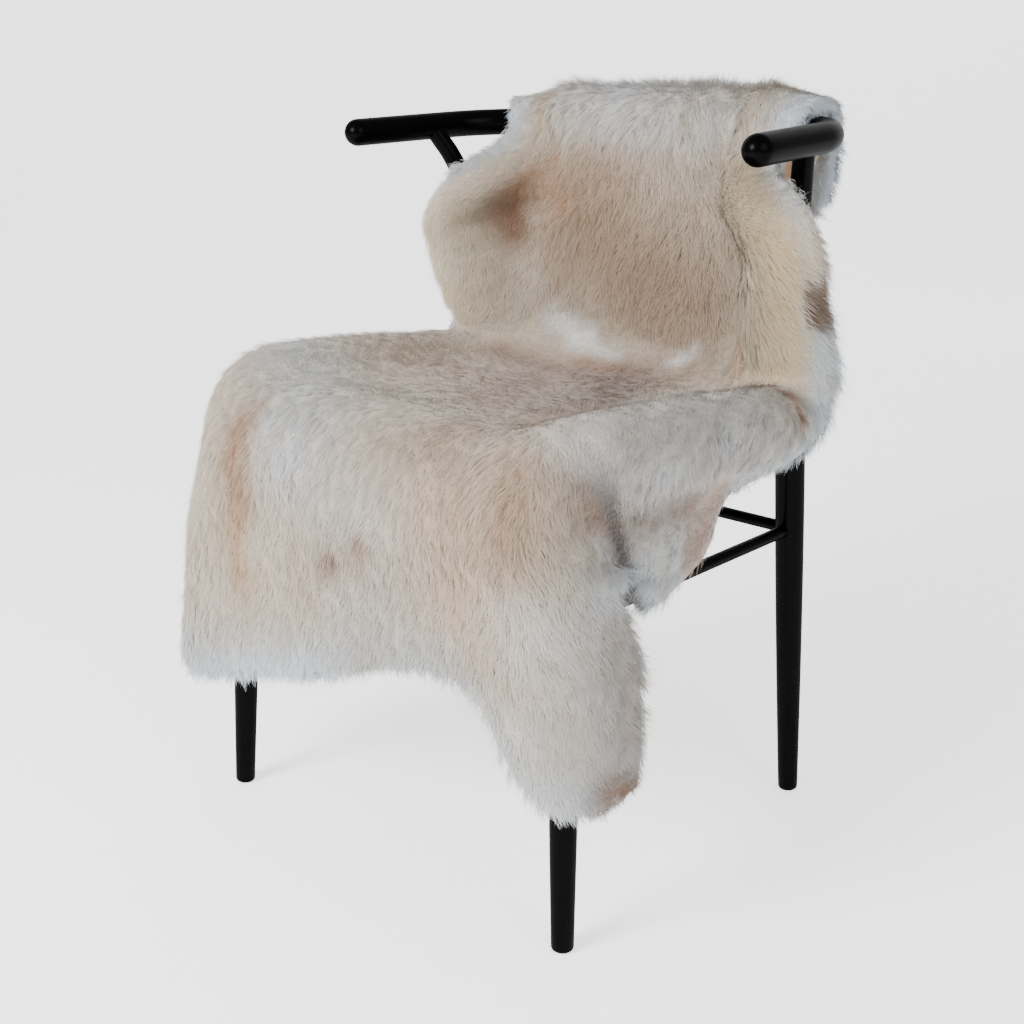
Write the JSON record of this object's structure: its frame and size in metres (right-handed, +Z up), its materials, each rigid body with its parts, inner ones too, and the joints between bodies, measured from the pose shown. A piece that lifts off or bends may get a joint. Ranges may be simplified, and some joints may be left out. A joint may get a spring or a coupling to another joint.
{
  "type": "sheepskin rug on chair",
  "caption": "Long-haired ivory sheepskin rug thrown over the rail, back, seat and front of a plain black round-bar chair.",
  "frame": {"origin": "on the floor, under the middle of the whole thing", "axes": "+Z up, the chair faces -Y, +X to the right as seen from the front"},
  "size_m": [0.6139, 0.5594, 0.7737],
  "materials": {
    "wool": "long ivory sheepskin wool",
    "lacquer": "black satin lacquer"
  },
  "bodies": {
    "root": {"sheepskin": "wool", "back_hem_locks": "wool", "right_lobe_locks": "wool", "side_flap_locks": "wool", "leg_flap_locks": "wool", "front_hem_locks": "wool", "left_corner_locks": "wool", "left_seat_locks": "wool", "left_lobe_locks": "wool", "front_leg_left": "lacquer", "front_leg_right": "lacquer", "back_leg_left": "lacquer", "back_leg_right": "lacquer", "top_rail": "lacquer", "front_seat_rail": "lacquer", "side_seat_rail_left": "lacquer", "side_seat_rail_right": "lacquer", "back_seat_rail": "lacquer", "side_stretcher_left": "lacquer", "side_stretcher_right": "lacquer", "back_stretcher": "lacquer", "seat_board": "lacquer"}
  },
  "joints": []
}
